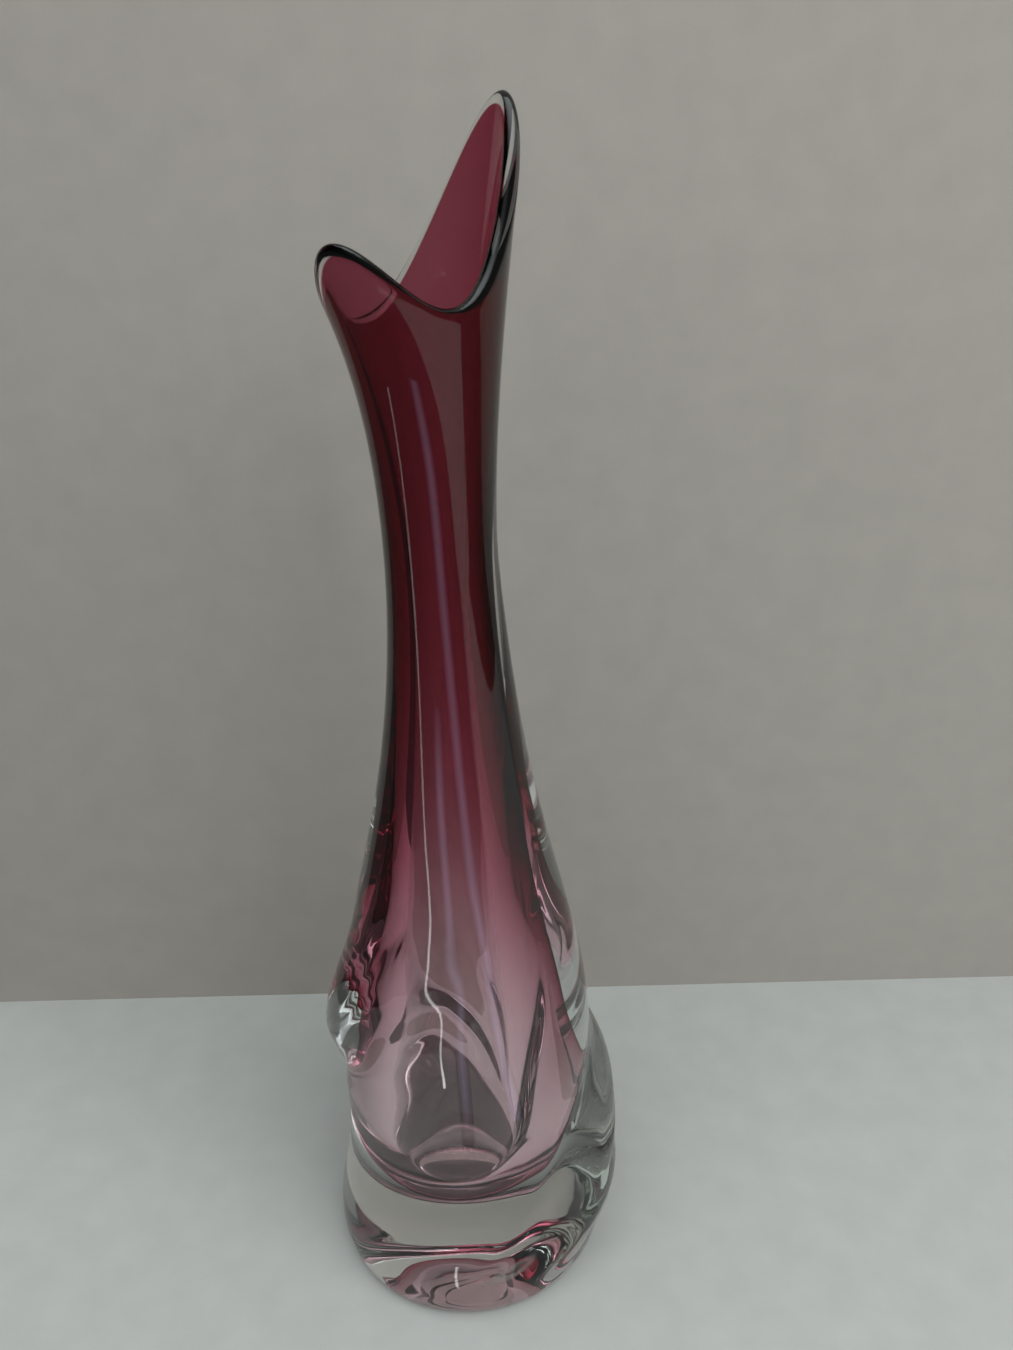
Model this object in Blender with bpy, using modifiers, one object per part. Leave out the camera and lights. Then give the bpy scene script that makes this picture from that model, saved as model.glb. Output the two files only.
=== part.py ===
"""A tall cased-glass bud vase, at its real size, in metres, with +Z up.

The real vase is two gathers of glass: a thin ruby bubble, and a heavy clear casing gathered over it.
While the glass was hot, two fins were pinched out of the casing near the base, the body was twisted,
and the mouth was swung out into a short lip and a tall one.

Each gather is first turned as a round blank, and then tooled: the same hot work bends both blanks, so
that the ruby lining stays seated in the casing however a size is changed.
The origin is the middle of the ground foot. The short lip points to the front left, where the front is
-Y, and the tall lip to the back right.
"""

import math

import bmesh
import bpy
import numpy as np

MM = 0.001
DEGREE = math.pi / 180

# Ground foot, with its rounded edge
FOOT_RADIUS = 38.6 * MM
FOOT_EDGE_WIDTH = 3.4 * MM
FOOT_EDGE_HEIGHT = 8.0 * MM

# Outside of the casing: its radius at each place up the blank, and how far up each lies from the last
WAIST_RADIUS = 34.2 * MM
SHOULDER_RADIUS = 34.3 * MM
BODY_RADIUS = 27.8 * MM
TAPER_RADIUS = 19.4 * MM
NECK_RADIUS = 13.0 * MM
MOUTH_RADIUS = 12.8 * MM
WAIST_SPAN = 27.0 * MM
SHOULDER_SPAN = 41.0 * MM
BODY_SPAN = 37.0 * MM
TAPER_SPAN = 37.0 * MM
NECK_SPAN = 58.0 * MM
MOUTH_SPAN = 38.8 * MM

WAIST_HEIGHT = FOOT_EDGE_HEIGHT + WAIST_SPAN
SHOULDER_HEIGHT = WAIST_HEIGHT + SHOULDER_SPAN
BODY_HEIGHT = SHOULDER_HEIGHT + BODY_SPAN
TAPER_HEIGHT = BODY_HEIGHT + TAPER_SPAN
NECK_HEIGHT = TAPER_HEIGHT + NECK_SPAN
MOUTH_HEIGHT = NECK_HEIGHT + MOUTH_SPAN

# Clear glass between the outside and the ruby lining
BASE_THICKNESS = 23.0 * MM
WAIST_WALL = 15.0 * MM
SHOULDER_WALL = 16.8 * MM
BODY_WALL = 14.1 * MM
TAPER_WALL = 9.0 * MM
NECK_WALL = 5.2 * MM
RIM_WALL = 2.6 * MM
DOME_HEIGHT = 29.0 * MM
DOME_SQUARENESS = 2.3

# Ruby lining, which was blown thinner the wider it is
LINING_GAP = 0.35 * MM
LINING_WAIST_WALL = 0.8 * MM
LINING_TAPER_WALL = 1.4 * MM
LINING_RIM_WALL = 0.8 * MM
LINING_RIM_STEP = 0.5 * MM

# Each fin stands out furthest at its height, rises above it and runs on below it, where it also sweeps round
HIGH_FIN_ANGLE = 92 * DEGREE
HIGH_FIN_HEIGHT = 80.0 * MM
HIGH_FIN_REACH = 3.6 * MM
HIGH_FIN_RISE = 32.0 * MM
HIGH_FIN_RUN = 55.0 * MM
HIGH_FIN_SWEEP = 124 * DEGREE
LOW_FIN_ANGLE = -48 * DEGREE
LOW_FIN_HEIGHT = 42.0 * MM
LOW_FIN_REACH = 9.0 * MM
LOW_FIN_RISE = 24.0 * MM
LOW_FIN_RUN = 25.0 * MM
LOW_FIN_SWEEP = 6 * DEGREE
FINS = (
    (HIGH_FIN_ANGLE, HIGH_FIN_HEIGHT, HIGH_FIN_REACH, HIGH_FIN_RISE, HIGH_FIN_RUN, HIGH_FIN_SWEEP),
    (LOW_FIN_ANGLE, LOW_FIN_HEIGHT, LOW_FIN_REACH, LOW_FIN_RISE, LOW_FIN_RUN, LOW_FIN_SWEEP),
)
FIN_WIDTH = 24 * DEGREE
FIN_END_POWER = 3
SWEEP_POWER = 1.5
FIN_FADE_POWER = 2.5
GROOVE_DEPTH = 1.0 * MM
GROOVE_WIDTH = 13 * DEGREE
GROOVE_OFFSET = 42 * DEGREE
TWIST_ANGLE = 138 * DEGREE
TWIST_HEIGHT = 115.0 * MM

# The mouth, swung out of the last of the neck
SWING_LENGTH = 41.0 * MM
TALL_LIP_ANGLE = 37 * DEGREE
TALL_LIP_WIDTH = 38 * DEGREE
TALL_LIP_ROUND = 28 * DEGREE
TALL_LIP_RISE = 51.0 * MM
TALL_LIP_FLARE = 11.9 * MM
TALL_FLARE_POWER = 2
SHORT_LIP_ANGLE = 234 * DEGREE
SHORT_LIP_WIDTH = 25 * DEGREE
SHORT_LIP_ROUND = 39 * DEGREE
SHORT_LIP_RISE = 23.0 * MM
SHORT_LIP_FLARE = 9.4 * MM
SHORT_FLARE_POWER = 4
RISE_POWER = 1.7

# How far the blown bubble lies off the middle, and how the vase leans
BUBBLE_OFFSET = -1.9 * MM
BODY_LEAN = 3.2 * MM
BODY_LEAN_POWER = 2
NECK_LEAN = -5.8 * MM
NECK_LEAN_POWER = 6

# Fineness of the blanks
SIDES = 54
WALL_STEPS = 34
CAVITY_STEPS = 17
CROWDING = 1.2
DOME_STEPS = 7
ROUND_STEPS = 4
MERGE = 0.01 * MM
SMOOTH_ANGLE = 40 * DEGREE


def smooth_curve(places):
    """A cubic spline through (height, size) places, level at its lowest place and free at its highest."""
    heights, sizes = (np.array(column) for column in zip(*places))
    steps, rises = np.diff(heights), np.diff(sizes)
    count = len(heights)
    matrix, target = np.zeros((count, count)), np.zeros(count)
    matrix[0, :2] = 2 * steps[0], steps[0]
    target[0] = 6 * rises[0] / steps[0]
    matrix[-1, -1] = 1
    for i in range(1, count - 1):
        matrix[i, i - 1 : i + 2] = steps[i - 1], 2 * (steps[i - 1] + steps[i]), steps[i]
        target[i] = 6 * (rises[i] / steps[i] - rises[i - 1] / steps[i - 1])
    bends = np.linalg.solve(matrix, target)

    def size_at(height):
        i = int(np.clip(np.searchsorted(heights, height) - 1, 0, count - 2))
        step = steps[i]
        up = (min(max(height, heights[0]), heights[-1]) - heights[i]) / step
        down = 1 - up
        curve = (down**3 - down) * bends[i] + (up**3 - up) * bends[i + 1]
        return down * sizes[i] + up * sizes[i + 1] + curve * step**2 / 6

    return size_at


outer_radius = smooth_curve(
    [
        (FOOT_EDGE_HEIGHT, FOOT_RADIUS),
        (WAIST_HEIGHT, WAIST_RADIUS),
        (SHOULDER_HEIGHT, SHOULDER_RADIUS),
        (BODY_HEIGHT, BODY_RADIUS),
        (TAPER_HEIGHT, TAPER_RADIUS),
        (NECK_HEIGHT, NECK_RADIUS),
        (MOUTH_HEIGHT, MOUTH_RADIUS),
    ]
)
casing_wall = smooth_curve(
    [
        (WAIST_HEIGHT, WAIST_WALL),
        (SHOULDER_HEIGHT, SHOULDER_WALL),
        (BODY_HEIGHT, BODY_WALL),
        (TAPER_HEIGHT, TAPER_WALL),
        (NECK_HEIGHT, NECK_WALL),
        (MOUTH_HEIGHT, RIM_WALL),
    ]
)
lining_wall = smooth_curve(
    [
        (WAIST_HEIGHT, LINING_WAIST_WALL),
        (TAPER_HEIGHT, LINING_TAPER_WALL),
        (MOUTH_HEIGHT, LINING_RIM_WALL),
    ]
)


def rows(top, bottom, count):
    """Heights from top to bottom, closer together near the top, where the mouth is stretched."""
    return [top - (top - bottom) * share**CROWDING for share in np.linspace(0, 1, count)]


def cavity_radius(height, inset):
    """Radius of the casing's inside, or of a surface that lies inset within it."""
    straight = outer_radius(height) - casing_wall(height) - inset
    below = (BASE_THICKNESS + DOME_HEIGHT - height) / (DOME_HEIGHT - inset)
    if below <= 0:
        return straight
    return straight * max(1 - below**DOME_SQUARENESS, 0) ** (1 / DOME_SQUARENESS)


def cavity_side(inset_at, top):
    """Points up the inside of a blank, from the middle of its floor to the height where its rim begins."""
    floor = BASE_THICKNESS + inset_at(BASE_THICKNESS)
    shoulder = BASE_THICKNESS + DOME_HEIGHT
    turns = np.linspace(0, math.pi / 2, DOME_STEPS, endpoint=False)
    heights = [shoulder - (shoulder - floor) * math.cos(turn) for turn in turns]
    heights += rows(top, shoulder, CAVITY_STEPS)[::-1]
    return [(cavity_radius(height, inset_at(height)), height) for height in heights]


def round_rim(outside, inside, height):
    """Points over a rim, from its inside to its outside: a half round as wide as the wall."""
    middle, half = (outside + inside) / 2, (outside - inside) / 2
    turns = np.linspace(math.pi, 0, 2 * ROUND_STEPS, endpoint=False)[1:]
    return [(middle + half * math.cos(turn), height + half * math.sin(turn)) for turn in turns]


def foot_edge():
    """Points round the edge of the foot, from the wall down to the flat ground face."""
    flat_radius = FOOT_RADIUS - FOOT_EDGE_WIDTH
    turns = np.linspace(math.pi / 2, 0, ROUND_STEPS + 1)[1:]
    return [
        (flat_radius + FOOT_EDGE_WIDTH * math.sin(turn), FOOT_EDGE_HEIGHT * (1 - math.cos(turn)))
        for turn in turns
    ]


def casing_profile():
    """Half section of the clear blank, up its cavity, over the rim and down the outside to the foot."""
    cavity = cavity_side(lambda height: 0.0, MOUTH_HEIGHT)
    rim = round_rim(MOUTH_RADIUS, MOUTH_RADIUS - RIM_WALL, MOUTH_HEIGHT)
    wall_heights = rows(MOUTH_HEIGHT, FOOT_EDGE_HEIGHT, WALL_STEPS)
    wall = [(outer_radius(height), height) for height in wall_heights]
    return cavity + rim + wall + foot_edge() + [(0.0, 0.0)]


def lining_profile():
    """Half section of the ruby blank, up its inside, over its rim and down the side that meets the casing."""
    top = MOUTH_HEIGHT - LINING_RIM_STEP
    inside = cavity_side(lambda height: LINING_GAP + lining_wall(height), top)
    outside = cavity_side(lambda height: LINING_GAP, top)
    return inside + round_rim(outside[-1][0], inside[-1][0], top) + outside[::-1]


def turn_blank(name, profile):
    """Turns a half section about Z with a Screw modifier, and returns the closed blank as a mesh object."""
    outline = bpy.data.meshes.new(name)
    points = [(radius, 0.0, height) for radius, height in profile]
    outline.from_pydata(points, [(i, i + 1) for i in range(len(points) - 1)], [])
    turned = bpy.data.objects.new(name + "_outline", outline)
    bpy.context.scene.collection.objects.link(turned)
    screw = turned.modifiers.new("Turn", "SCREW")
    screw.steps = screw.render_steps = SIDES
    screw.use_merge_vertices = True
    screw.merge_threshold = MERGE
    graph = bpy.context.evaluated_depsgraph_get()
    mesh = bpy.data.meshes.new_from_object(turned.evaluated_get(graph))
    bpy.data.objects.remove(turned)
    bpy.data.meshes.remove(outline)
    mesh.name = name
    return bpy.data.objects.new(name, mesh)


def crest(angle, width):
    """A round crest at angle 0, about width wide to either side, that comes back each whole turn."""
    return math.exp((math.cos(angle) - 1) / (1 - math.cos(width)))


def pinch_fins(radius, angle, height):
    """Squeezes glass of the straight blank out into its fins, and out of the grooves beside them."""
    push = 0.0
    for fin, peak, reach, rise, run, sweep in FINS:
        far = (height - peak) / (rise if height > peak else run)
        off = angle - fin + sweep * max(-far, 0.0) ** SWEEP_POWER
        across = reach * crest(off, FIN_WIDTH)
        for side in (-GROOVE_OFFSET, GROOVE_OFFSET):
            across -= GROOVE_DEPTH * crest(off - side, GROOVE_WIDTH)
        push += across * math.exp(-(abs(far) ** FIN_END_POWER))
    depth = min(radius / outer_radius(height), 1.0)
    return radius + push * depth**FIN_FADE_POWER


def twist(angle, height):
    """Winds the soft body round, so that the fins climb it as spirals."""
    return angle + TWIST_ANGLE * min(height / TWIST_HEIGHT, 1.0)


def lip(angle, width, roundness):
    """Share in a lip of a rim point that is angle away from it: 1 at its round tip, falling along a curve."""
    away = math.sqrt(2 - 2 * math.cos(angle) + roundness**2) - roundness
    return math.exp(-away / width)


def swing_mouth(radius, angle, height):
    """Draws the last of the neck up and out into the two lips."""
    share = max((height - MOUTH_HEIGHT + SWING_LENGTH) / SWING_LENGTH, 0.0)
    tall = lip(angle - TALL_LIP_ANGLE, TALL_LIP_WIDTH, TALL_LIP_ROUND)
    short = lip(angle - SHORT_LIP_ANGLE, SHORT_LIP_WIDTH, SHORT_LIP_ROUND)
    flare = TALL_LIP_FLARE * tall * share**TALL_FLARE_POWER
    flare += SHORT_LIP_FLARE * short * share**SHORT_FLARE_POWER
    rise = (TALL_LIP_RISE * tall + SHORT_LIP_RISE * short) * share**RISE_POWER
    return radius + flare, height + rise


def lean(radius, height):
    """How far a point moves sideways: with the leaning body and neck, and with the bubble below the mouth."""
    up = height / MOUTH_HEIGHT
    inside = 1 - min(radius / outer_radius(height), 1.0) ** FIN_FADE_POWER
    bubble = BUBBLE_OFFSET * inside * min(height / BASE_THICKNESS, 1.0) * (1 - up**2)
    return BODY_LEAN * up**BODY_LEAN_POWER + NECK_LEAN * up**NECK_LEAN_POWER + bubble


def tool(blank):
    """Does the hot work, alike to each blank: pinches fins, twists them, swings the mouth, lets it lean."""
    for vertex in blank.data.vertices:
        x, y, height = vertex.co
        radius, angle = math.hypot(x, y), math.atan2(y, x)
        sideways = lean(radius, height)
        if radius > MERGE:
            radius = pinch_fins(radius, angle, height)
        angle = twist(angle, height)
        radius, raised = swing_mouth(radius, angle, height)
        vertex.co = (radius * math.cos(angle) + sideways, radius * math.sin(angle), raised)


def finish(obj, material):
    """Cleans a tooled blank, shades it smooth and gives it its glass."""
    shape = bmesh.new()
    shape.from_mesh(obj.data)
    bmesh.ops.remove_doubles(shape, verts=shape.verts, dist=MERGE)
    bmesh.ops.recalc_face_normals(shape, faces=shape.faces)
    bmesh.ops.triangulate(shape, faces=shape.faces)
    shape.to_mesh(obj.data)
    shape.free()
    obj.data.shade_smooth()
    obj.data.set_sharp_from_angle(angle=SMOOTH_ANGLE)
    obj.data.materials.append(material)


def glass(name, colour):
    """Polished glass of one colour, given in linear light."""
    material = bpy.data.materials.new(name)
    material.use_nodes = True
    shader = material.node_tree.nodes["Principled BSDF"]
    shader.inputs["Base Color"].default_value = (*colour, 1.0)
    shader.inputs["Metallic"].default_value = 0.0
    shader.inputs["Roughness"].default_value = 0.02
    shader.inputs["IOR"].default_value = 1.52
    shader.inputs["Transmission Weight"].default_value = 1.0
    return material


def main():
    for obj in list(bpy.data.objects):
        bpy.data.objects.remove(obj)
    vase = bpy.data.collections.new("Cased glass vase")
    bpy.context.scene.collection.children.link(vase)
    gathers = (
        ("clear_casing", casing_profile(), glass("Clear glass", (0.86, 0.9, 0.87))),
        ("ruby_lining", lining_profile(), glass("Ruby glass", (0.42, 0.06, 0.1))),
    )
    for name, profile, material in gathers:
        blank = turn_blank(name, profile)
        vase.objects.link(blank)
        tool(blank)
        finish(blank, material)


main()
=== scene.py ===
# %% [markdown]
# # A cased-glass bud vase
#
# This lesson dresses a finished CAD model of a hand-blown vase as real glass. The vase is two gathers of
# glass fused together: a ruby bubble, and a heavy clear casing gathered over it. Its fins were pinched and
# twisted while the glass was hot, and its mouth was swung out into a short lip and a tall one.
#
# Each step says what it makes on the real vase, how that could be done in Blender, and why it is done this
# way. Everything is in metres, with +Z up, and the vase stands on z = 0.

# %% Start from the CAD model
import math

import bmesh
import bpy
import numpy as np
from mathutils import Matrix, Vector


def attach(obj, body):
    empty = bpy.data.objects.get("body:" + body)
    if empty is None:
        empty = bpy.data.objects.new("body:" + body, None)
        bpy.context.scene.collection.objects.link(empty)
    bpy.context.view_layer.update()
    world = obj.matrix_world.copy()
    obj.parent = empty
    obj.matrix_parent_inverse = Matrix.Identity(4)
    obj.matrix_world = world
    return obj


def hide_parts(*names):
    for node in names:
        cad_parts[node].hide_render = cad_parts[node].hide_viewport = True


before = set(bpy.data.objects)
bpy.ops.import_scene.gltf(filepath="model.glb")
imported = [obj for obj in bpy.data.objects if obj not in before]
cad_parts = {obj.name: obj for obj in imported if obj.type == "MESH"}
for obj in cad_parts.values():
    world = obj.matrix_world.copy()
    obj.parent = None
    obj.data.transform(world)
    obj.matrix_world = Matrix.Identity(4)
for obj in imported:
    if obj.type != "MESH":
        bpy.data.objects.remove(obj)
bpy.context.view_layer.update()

MM = 0.001
DEGREE = math.pi / 180


# %% [markdown]
# Colours are written as sRGB hex values, as a colour picker gives them. Blender's shaders work in linear
# light, so one function turns the one into the other.

# %% Colours
def linear(hex_colour, alpha=1.0):
    """An sRGB hex colour as linear red, green, blue and alpha."""
    parts = [int(hex_colour[i : i + 2], 16) / 255 for i in (1, 3, 5)]
    return (*[c / 12.92 if c <= 0.04045 else ((c + 0.055) / 1.055) ** 2.4 for c in parts], alpha)


print("mid grey is", round(linear("#808080")[0], 3), "of white")


# %% [markdown]
# Materials, the sky and the shape of the vase are all made of nodes. One small function adds a node, gives
# it its settings, and links or fills its inputs, so that each later cell reads as a list of what is joined
# to what.

# %% A helper for nodes
def add(tree, kind, *inputs, named=None, **settings):
    """Adds a node. Inputs are given in order, or by name in named: a socket is linked, a value is set."""
    node = tree.nodes.new(kind)
    for name, value in settings.items():
        setattr(node, name, value)
    for place, value in [*enumerate(inputs), *(named or {}).items()]:
        if isinstance(value, bpy.types.NodeSocket):
            tree.links.new(value, node.inputs[place])
        elif value is not None:
            node.inputs[place].default_value = value
    return node


# %% [markdown]
# ## The camera
#
# The photograph was taken by hand from close by, a little above the mouth and looking down, which is why
# the vase narrows towards its foot. Its place, pitch and slight roll are measured values, worked out from
# the straight sides of the vase and from the line where the floor meets the wall.

# %% Camera
CAMERA_PLACE = (0.0143, -0.25, 0.30)
CAMERA_PITCH = 26.0 * DEGREE
CAMERA_ROLL = 1.46 * DEGREE
LENS = 31.2
SENSOR = 36.0
NEAREST = 0.01

camera_data = bpy.data.cameras.new("Camera")
camera_data.lens = LENS
camera_data.sensor_width = SENSOR
camera_data.clip_start = NEAREST
camera = bpy.data.objects.new("Camera", camera_data)
turn = Matrix.Rotation(math.pi / 2 - CAMERA_PITCH, 4, "X") @ Matrix.Rotation(-CAMERA_ROLL, 4, "Z")
camera.matrix_world = Matrix.Translation(CAMERA_PLACE) @ turn
bpy.context.scene.collection.objects.link(camera)
bpy.context.scene.camera = camera
bpy.context.scene.view_settings.view_transform = "Standard"
print("camera at", CAMERA_PLACE, "m, lens", LENS, "mm")


# %% [markdown]
# ## Floor and wall
#
# The vase stands on a pale matt board, close in front of a pale wall. Glass has hardly any colour of its
# own: nearly all that the eye sees in it is this floor, this wall and the room, bent and reflected. So the
# stage is built first, at the distances of the photograph. All of it is plain planes.
#
# The board ends just outside the picture, on a dark table top. Its dark tone is partly painted shade: it
# also stands for the dim, shaded room in front of and beside the vase. The edges of the vase are dark
# because the glass bends the view right round there, to something dark: without it the vase would have no
# outline.
#
# The wall is one-sided: seen from behind it is clear, so that the vase can be looked at from the back too.

# %% Floor and wall
WALL_DISTANCE = 0.095
WALL_HEIGHT = 0.9
BOARD_LEFT, BOARD_RIGHT = -0.183, 0.6
FRONT_LEFT, FRONT_RIGHT = -0.2, -0.7
TABLE_REACH, TABLE_DROP = 1.6, 3 * MM
FLOOR_COLOUR = "#A0A3A0"
WALL_COLOUR = "#98958F"
# The dark table top is partly painted shade: its tone also stands for the dim, shaded room in front of the
# vase
TABLE_AND_SHADE_COLOUR = "#464644"
GRAIN, MOTTLE = 0.6 * MM, 12 * MM
MOTTLE_TONES = (0.97, 1.03)
# The board lies this far below the foot, so that the two faces don't share a plane
AIR_GAP = 0.1 * MM


def plane(name, corners, material):
    """A flat stage piece through four corners, which faces the side where they run anticlockwise."""
    mesh = bpy.data.meshes.new(name)
    mesh.from_pydata(corners, [], [(0, 1, 2, 3)])
    mesh.materials.append(material)
    made = bpy.data.objects.new(name, mesh)
    bpy.context.scene.collection.objects.link(made)


def new_material(name):
    """An empty node material."""
    material = bpy.data.materials.new(name)
    material.use_nodes = True
    material.node_tree.nodes.clear()
    return material, material.node_tree


def painted_board(name, colour, one_sided):
    """Matt painted board: a rough surface with a faint mottle that keeps it from looking like plastic."""
    material, tree = new_material(name)
    place = add(tree, "ShaderNodeTexCoord").outputs["Object"]
    mottle = add(tree, "ShaderNodeTexNoise", named={"Vector": place, "Scale": 1 / MOTTLE, "Detail": 4.0})
    shade = add(tree, "ShaderNodeMapRange", mottle.outputs[0], 0.3, 0.7, *MOTTLE_TONES)
    tint = add(
        tree, "ShaderNodeMix", data_type="RGBA", blend_type="MULTIPLY",
        named={0: 1.0, 6: linear(colour), 7: shade.outputs[0]},
    )
    grain = add(tree, "ShaderNodeTexNoise", named={"Vector": place, "Scale": 1 / GRAIN, "Detail": 2.0})
    bump = add(
        tree, "ShaderNodeBump",
        named={"Height": grain.outputs[0], "Strength": 0.05, "Distance": GRAIN},
    )
    board = add(
        tree, "ShaderNodeBsdfPrincipled",
        named={
            "Base Color": tint.outputs[2], "Roughness": 0.85, "Specular IOR Level": 0.2,
            "Normal": bump.outputs[0],
        },
    )
    surface = board.outputs[0]
    if one_sided:
        behind = add(tree, "ShaderNodeNewGeometry").outputs["Backfacing"]
        clear = add(tree, "ShaderNodeBsdfTransparent").outputs[0]
        surface = add(tree, "ShaderNodeMixShader", behind, surface, clear).outputs[0]
    add(tree, "ShaderNodeOutputMaterial", surface)
    return material


plane(
    "floor",
    [
        (BOARD_LEFT, FRONT_LEFT, -AIR_GAP),
        (BOARD_RIGHT, FRONT_RIGHT, -AIR_GAP),
        (BOARD_RIGHT, WALL_DISTANCE, -AIR_GAP),
        (BOARD_LEFT, WALL_DISTANCE, -AIR_GAP),
    ],
    painted_board("Matt painted board", FLOOR_COLOUR, False),
)
# A dark table top, whose tone is also painted shade for the dim room in front of and beside the vase
plane(
    "table",
    [
        (-TABLE_REACH, -TABLE_REACH, -TABLE_DROP),
        (TABLE_REACH, -TABLE_REACH, -TABLE_DROP),
        (TABLE_REACH, TABLE_REACH, -TABLE_DROP),
        (-TABLE_REACH, TABLE_REACH, -TABLE_DROP),
    ],
    painted_board("Matt dark table top and painted shade", TABLE_AND_SHADE_COLOUR, False),
)
plane(
    "wall",
    [
        (BOARD_LEFT, WALL_DISTANCE, -AIR_GAP),
        (BOARD_RIGHT, WALL_DISTANCE, -AIR_GAP),
        (BOARD_RIGHT, WALL_DISTANCE, WALL_HEIGHT),
        (BOARD_LEFT, WALL_DISTANCE, WALL_HEIGHT),
    ],
    painted_board("Matt painted wall", WALL_COLOUR, True),
)
print("board", FLOOR_COLOUR, "wall", WALL_COLOUR, WALL_DISTANCE, "m behind the vase's middle")


# %% [markdown]
# ## The room
#
# A soft key light from the front right and a weaker one from the front left light the board and the wall.
# Both are large squares, so the vase throws only a soft shadow. The glass doesn't mirror them: the streaks
# of light on it have lights of their own, which come after the vase, because they follow its outline.

# %% Lights
AIM = Vector((0, 0, 0.15))


def soft_light(name, azimuth, elevation, distance, size, power):
    """A soft square lamp, which the glass doesn't mirror. Azimuth counts from the front to the left."""
    data = bpy.data.lights.new(name, "AREA")
    data.size = size
    data.energy = power
    lamp = bpy.data.objects.new(name, data)
    turn, rise = azimuth * DEGREE, elevation * DEGREE
    level = math.cos(rise)
    way = Vector((-math.sin(turn) * level, -math.cos(turn) * level, math.sin(rise)))
    lamp.location = AIM + way * distance
    lamp.rotation_euler = way.to_track_quat("Z", "Y").to_euler()
    lamp.visible_camera = lamp.visible_glossy = lamp.visible_transmission = False
    bpy.context.scene.collection.objects.link(lamp)
    print(name, "light", power, "W")


soft_light("key", azimuth=-40, elevation=40, distance=1.1, size=0.9, power=12.0)
soft_light("fill", azimuth=35, elevation=42, distance=1.2, size=1.0, power=5.0)

# %% [markdown]
# The room is what the rest of the glass shows. It is dark on the left and behind, paler on the right and in
# front, and bright overhead. The ceiling gives the rim its grey line, and the dim room keeps the ruby deep:
# a bright one would lie over it like a veil. A colour ramp round the horizon and a soft change to the
# ceiling are enough, because the curved glass squeezes the whole room into thin bands.

# %% The world
# Each tone of the room with its angle round the horizon: 0 degrees is behind the vase, 90 to its right
ROOM = (
    (-180, "#5A5C5A"),
    (-125, "#343535"),
    (-95, "#1E1F1F"),
    (-40, "#1E1F1F"),
    (0, "#1C1D1D"),
    (40, "#3C3D3D"),
    (100, "#606260"),
    (140, "#606260"),
)
CEILING, CEILING_STRENGTH = "#E4EAEE", 3.0
CEILING_EDGE, CEILING_FULL = math.sin(48 * DEGREE), math.sin(80 * DEGREE)

world = bpy.data.worlds.new("Room")
bpy.context.scene.world = world
world.use_nodes = True
tree = world.node_tree
tree.nodes.clear()
way = add(tree, "ShaderNodeSeparateXYZ", add(tree, "ShaderNodeTexCoord").outputs["Generated"])
azimuth = add(tree, "ShaderNodeMath", way.outputs["X"], way.outputs["Y"], operation="ARCTAN2")
share = add(tree, "ShaderNodeMapRange", azimuth.outputs[0], -math.pi, math.pi, 0.0, 1.0)
ramp = add(tree, "ShaderNodeValToRGB", share.outputs[0])
ramp.color_ramp.interpolation = "EASE"
stops = ramp.color_ramp.elements
for i, (angle, colour) in enumerate(ROOM):
    stop = stops[i] if i < 2 else stops.new(0.0)
    stop.position = (angle + 180) / 360
    stop.color = linear(colour)
stops.new(1.0).color = linear(ROOM[0][1])
sky = add(tree, "ShaderNodeBackground", ramp.outputs[0], 1.0)
ceiling = add(tree, "ShaderNodeBackground", linear(CEILING), CEILING_STRENGTH)
overhead = add(
    tree, "ShaderNodeMapRange", way.outputs["Z"], CEILING_EDGE, CEILING_FULL, 0.0, 1.0,
    interpolation_type="SMOOTHSTEP",
)
room = add(tree, "ShaderNodeMixShader", overhead.outputs[0], sky.outputs[0], ceiling.outputs[0])
add(tree, "ShaderNodeOutputWorld", room.outputs[0])
print("the room has", len(ROOM), "tones round the horizon")


# %% [markdown]
# ## The shape of the vase
#
# A glassmaker first blows a round blank and then works it hot. The fine surface here is made in the same
# order, from the same measurements as the CAD model: a half section is turned about Z, and the hot work is
# done to it by rule. A rule keeps the outside, the hollow and the ruby layer in step, which hand sculpting
# would not.
#
# First come the measurements of the blank, as radii and walls at heights up the vase.

# %% Measurements of the blank
FOOT_RADIUS, FOOT_EDGE_WIDTH, FOOT_EDGE_HEIGHT = 38.55 * MM, 3.4 * MM, 8.0 * MM
HEIGHTS = np.array([8.0, 35.0, 76.0, 113.0, 150.0, 208.0, 246.8]) * MM
OUTER_RADII = np.array([38.55, 34.2, 34.3, 27.8, 19.4, 13.0, 12.8]) * MM
MOUTH_HEIGHT, MOUTH_RADIUS = HEIGHTS[-1], OUTER_RADII[-1]
WALL_HEIGHTS = np.array([35.0, 76.0, 113.0, 150.0, 208.0, 246.8]) * MM
CASING_WALLS = np.array([15.0, 16.8, 14.1, 9.0, 5.2, 2.6]) * MM
LINING_HEIGHTS = np.array([35.0, 150.0, 246.8]) * MM
LINING_WALLS = np.array([0.8, 1.4, 0.8]) * MM
LINING_GAP = 0.35 * MM
BASE_THICKNESS, DOME_HEIGHT, DOME_SQUARENESS = 23.0 * MM, 29.0 * MM, 2.3

# The ruby layer itself was blown thinner the wider it is. It lies some way out from the hollow, deepest in
# the body, and ends inside the rim
RUBY_HEIGHTS = np.array([23.0, 55.0, 85.0, 122.0, 160.0, 246.8]) * MM
RUBY_THICKNESS = np.array([0.06, 0.045, 0.065, 0.17, 0.35, 0.60]) * MM
RUBY_DEPTHS = np.array([0.6, 1.1, 1.4, 1.6, 1.6, 0.35]) * MM
RUBY_RIM_RISE = 0.45 * MM
print("blank", round(MOUTH_HEIGHT / MM, 1), "mm tall, foot", round(2 * FOOT_RADIUS / MM, 1), "mm across")


# %% [markdown]
# A cubic spline through the measured places gives the calm line of blown glass. Straight steps would leave
# kinks, which show at once in reflections.

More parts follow.
